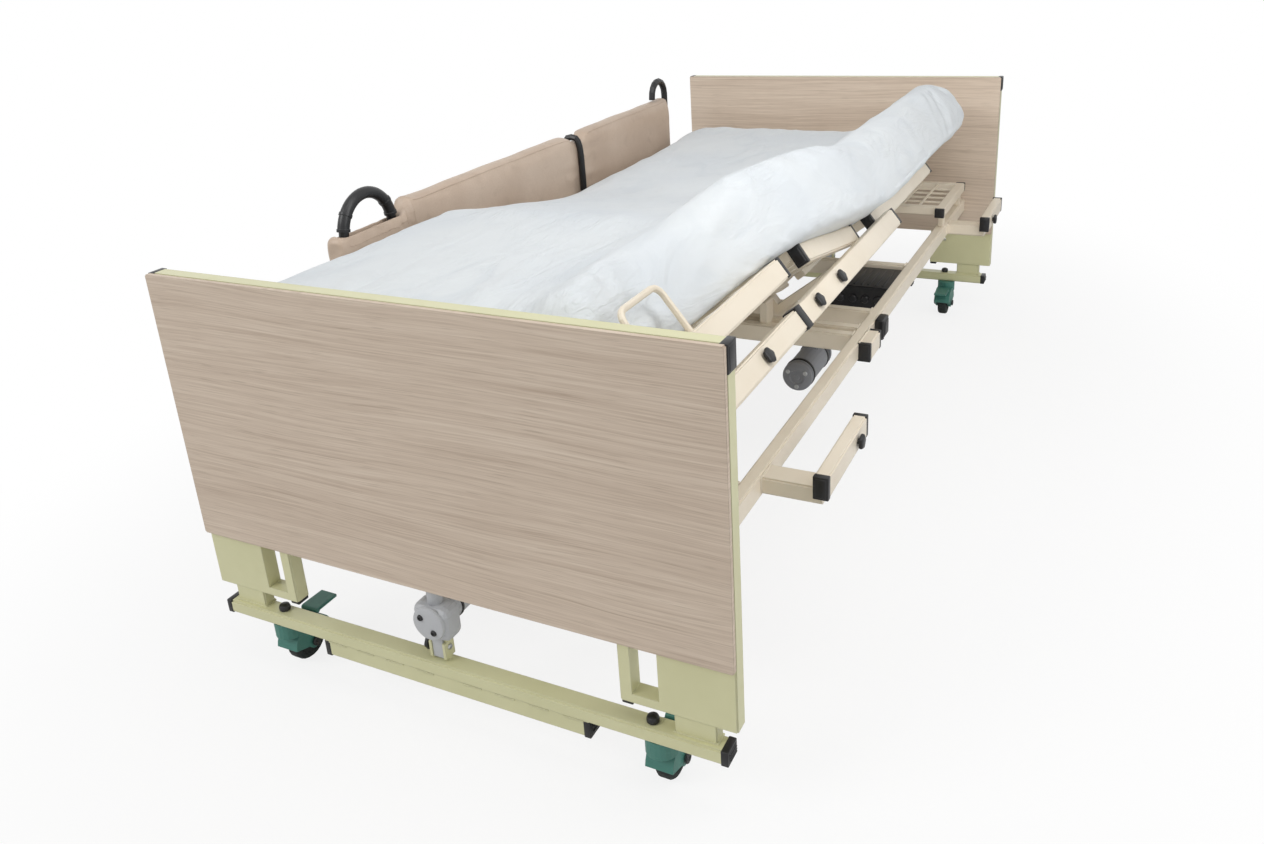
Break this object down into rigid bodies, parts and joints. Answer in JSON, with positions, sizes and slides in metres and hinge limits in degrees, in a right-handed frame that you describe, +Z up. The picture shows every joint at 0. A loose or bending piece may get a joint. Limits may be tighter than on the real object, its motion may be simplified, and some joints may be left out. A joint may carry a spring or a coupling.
{
  "type": "turning bed",
  "caption": "Care bed with lifting ends, castors, knee and back sections and side wings that tilt lengthwise to turn the user, with a mattress and a padded side guard.",
  "frame": {"origin": "on the floor under the middle of the bed", "axes": "+X to the user's left when lying on the back, seen to the right from the foot end; +Y from foot end to head end; +Z up"},
  "size_m": [1.065, 2.236, 0.7987],
  "materials": {
    "laminate": "pale fine-grained wood laminate",
    "green_paint": "satin pale yellow-green powder coat",
    "ivory_paint": "satin ivory powder coat",
    "teal_plastic": "moulded teal plastic",
    "tread": "dark tread",
    "grey_plastic": "light grey moulding",
    "dark_plastic": "black satin plastic",
    "motor_grey": "dark grey housing",
    "steel": "bright steel",
    "sheet": "white cotton sheet",
    "vinyl": "beige vinyl cover"
  },
  "bodies": {
    "chassis": {"foot_panel": "laminate", "foot_top_rail": "green_paint", "foot_leg_left": "green_paint", "foot_leg_right": "green_paint", "foot_lift_rod": "steel", "head_panel": "laminate", "head_top_rail": "green_paint", "head_leg_left": "green_paint", "head_leg_right": "green_paint", "head_lift_rod": "steel", "rail_left": "ivory_paint", "rail_right": "ivory_paint", "foot_cross": "ivory_paint", "mid_cross": "ivory_paint", "hip_cross": "ivory_paint", "head_cross": "ivory_paint", "outrigger_foot_left": "ivory_paint", "outrigger_foot_right": "ivory_paint", "outrigger_head_left": "ivory_paint", "outrigger_head_right": "ivory_paint", "head_deck": "ivory_paint", "control_box": "dark_plastic", "turning_motor": "motor_grey", "mattress": "sheet"},
    "foot_base": {"foot_base_bar": "green_paint", "foot_post_left": "green_paint", "foot_post_right": "green_paint", "foot_lift_motor": "grey_plastic"},
    "head_base": {"head_base_bar": "green_paint", "head_post_left": "green_paint", "head_post_right": "green_paint", "head_lift_motor": "grey_plastic"},
    "castor_foot_left": {"castor_foot_left_fork": "teal_plastic"},
    "wheel_foot_left": {"castor_foot_left_wheel": "tread"},
    "pedal_foot_left": {"castor_foot_left_pedal": "teal_plastic"},
    "castor_foot_right": {"castor_foot_right_fork": "teal_plastic"},
    "wheel_foot_right": {"castor_foot_right_wheel": "tread"},
    "pedal_foot_right": {"castor_foot_right_pedal": "teal_plastic"},
    "castor_head_left": {"castor_head_left_fork": "teal_plastic"},
    "wheel_head_left": {"castor_head_left_wheel": "tread"},
    "pedal_head_left": {"castor_head_left_pedal": "teal_plastic"},
    "castor_head_right": {"castor_head_right_fork": "teal_plastic"},
    "wheel_head_right": {"castor_head_right_wheel": "tread"},
    "pedal_head_right": {"castor_head_right_pedal": "teal_plastic"},
    "back": {"back_frame": "ivory_paint"},
    "thigh": {"thigh_frame": "ivory_paint"},
    "calf": {"calf_frame": "ivory_paint"},
    "right_beam": {"right_beam": "ivory_paint"},
    "right_back_wing": {"right_back_wing": "ivory_paint"},
    "right_thigh_wing": {"right_thigh_wing": "ivory_paint"},
    "right_calf_wing": {"right_calf_wing": "ivory_paint"},
    "left_beam": {"left_beam": "ivory_paint"},
    "left_back_wing": {"left_back_wing": "ivory_paint"},
    "left_thigh_wing": {"left_thigh_wing": "ivory_paint"},
    "left_calf_wing": {"left_calf_wing": "ivory_paint"},
    "guard": {"guard_pad": "vinyl", "guard_hoop": "dark_plastic", "guard_ring": "dark_plastic", "guard_post_foot": "steel", "guard_post_head": "dark_plastic"}
  },
  "joints": [
    {"name": "foot_lift", "type": "slide", "parent": "chassis", "child": "foot_base", "axis": [0, 0, 1], "range_m": [-0.34, 0]},
    {"name": "head_lift", "type": "slide", "parent": "chassis", "child": "head_base", "axis": [0, 0, 1], "range_m": [-0.34, 0]},
    {"name": "castor_foot_left_swivel", "type": "hinge", "parent": "foot_base", "child": "castor_foot_left", "pos_m": [-0.37, -1.091, 0.09], "axis": [0, 0, 1], "continuous": true},
    {"name": "castor_foot_left_roll", "type": "hinge", "parent": "castor_foot_left", "child": "wheel_foot_left", "pos_m": [-0.37, -1.061, 0.0375], "axis": [1, 0, 0], "continuous": true},
    {"name": "castor_foot_left_brake", "type": "hinge", "parent": "castor_foot_left", "child": "pedal_foot_left", "pos_m": [-0.37, -1.03794, 0.08478], "axis": [-1, 0, 0], "range_deg": [0, 10]},
    {"name": "castor_foot_right_swivel", "type": "hinge", "parent": "foot_base", "child": "castor_foot_right", "pos_m": [0.37, -1.091, 0.09], "axis": [0, 0, 1], "continuous": true},
    {"name": "castor_foot_right_roll", "type": "hinge", "parent": "castor_foot_right", "child": "wheel_foot_right", "pos_m": [0.37, -1.061, 0.0375], "axis": [1, 0, 0], "continuous": true},
    {"name": "castor_foot_right_brake", "type": "hinge", "parent": "castor_foot_right", "child": "pedal_foot_right", "pos_m": [0.37, -1.03794, 0.08478], "axis": [-1, 0, 0], "range_deg": [0, 10]},
    {"name": "castor_head_left_swivel", "type": "hinge", "parent": "head_base", "child": "castor_head_left", "pos_m": [-0.37, 1.091, 0.09], "axis": [0, 0, 1], "continuous": true},
    {"name": "castor_head_left_roll", "type": "hinge", "parent": "castor_head_left", "child": "wheel_head_left", "pos_m": [-0.37, 1.061, 0.0375], "axis": [1, 0, 0], "continuous": true},
    {"name": "castor_head_left_brake", "type": "hinge", "parent": "castor_head_left", "child": "pedal_head_left", "pos_m": [-0.37, 1.03794, 0.08478], "axis": [1, 0, 0], "range_deg": [0, 10]},
    {"name": "castor_head_right_swivel", "type": "hinge", "parent": "head_base", "child": "castor_head_right", "pos_m": [0.37, 1.091, 0.09], "axis": [0, 0, 1], "continuous": true},
    {"name": "castor_head_right_roll", "type": "hinge", "parent": "castor_head_right", "child": "wheel_head_right", "pos_m": [0.37, 1.061, 0.0375], "axis": [1, 0, 0], "continuous": true},
    {"name": "castor_head_right_brake", "type": "hinge", "parent": "castor_head_right", "child": "pedal_head_right", "pos_m": [0.37, 1.03794, 0.08478], "axis": [1, 0, 0], "range_deg": [0, 10]},
    {"name": "back_raise", "type": "hinge", "parent": "chassis", "child": "back", "pos_m": [0, 0.032, 0.417], "axis": [1, 0, 0], "range_deg": [0, 35], "deforming": ["mattress"]},
    {"name": "knee_raise", "type": "hinge", "parent": "chassis", "child": "thigh", "pos_m": [0, 0.032, 0.417], "axis": [-1, 0, 0], "range_deg": [-10, 10], "deforming": ["mattress"]},
    {"name": "calf_level", "type": "hinge", "parent": "thigh", "child": "calf", "pos_m": [0, -0.4604, 0.50382], "axis": [-1, 0, 0], "range_deg": [-10, 10]},
    {"name": "right_tilt", "type": "hinge", "parent": "chassis", "child": "right_beam", "pos_m": [0.186, 0, 0.417], "axis": [0, -1, 0], "range_deg": [-38, 0], "deforming": ["mattress"]},
    {"name": "right_back_tilt", "type": "hinge", "parent": "back", "child": "right_back_wing", "pos_m": [0.186, 0.3, 0.417], "axis": [0, -1, 0], "range_deg": [-38, 0]},
    {"name": "right_thigh_tilt", "type": "hinge", "parent": "thigh", "child": "right_thigh_wing", "pos_m": [0.186, 0.032, 0.417], "axis": [0, -0.9848, 0.1736], "range_deg": [-38, 0]},
    {"name": "right_calf_tilt", "type": "hinge", "parent": "calf", "child": "right_calf_wing", "pos_m": [0.186, -0.7, 0.50382], "axis": [0, -1, 0], "range_deg": [-38, 0]},
    {"name": "left_tilt", "type": "hinge", "parent": "chassis", "child": "left_beam", "pos_m": [-0.186, 0, 0.417], "axis": [0, 1, 0], "range_deg": [0, 38], "deforming": ["mattress"]},
    {"name": "left_back_tilt", "type": "hinge", "parent": "back", "child": "left_back_wing", "pos_m": [-0.186, 0.3, 0.417], "axis": [0, 1, 0], "range_deg": [0, 38]},
    {"name": "left_thigh_tilt", "type": "hinge", "parent": "thigh", "child": "left_thigh_wing", "pos_m": [-0.186, 0.032, 0.417], "axis": [0, 0.9848, -0.1736], "range_deg": [0, 38]},
    {"name": "left_calf_tilt", "type": "hinge", "parent": "calf", "child": "left_calf_wing", "pos_m": [-0.186, -0.7, 0.50382], "axis": [0, 1, 0], "range_deg": [0, 38]},
    {"name": "guard_lift_off", "type": "slide", "parent": "chassis", "child": "guard", "axis": [0, 0, 1], "range_m": [0, 0.3]}
  ],
  "couplings": [
    {"joint": "head_lift", "follows": "foot_lift", "ratio": 1},
    {"joint": "calf_level", "follows": "knee_raise", "ratio": -1},
    {"joint": "right_back_tilt", "follows": "right_tilt", "ratio": 1},
    {"joint": "right_thigh_tilt", "follows": "right_tilt", "ratio": 1},
    {"joint": "right_calf_tilt", "follows": "right_tilt", "ratio": 1},
    {"joint": "left_back_tilt", "follows": "left_tilt", "ratio": 1},
    {"joint": "left_thigh_tilt", "follows": "left_tilt", "ratio": 1},
    {"joint": "left_calf_tilt", "follows": "left_tilt", "ratio": 1}
  ]
}
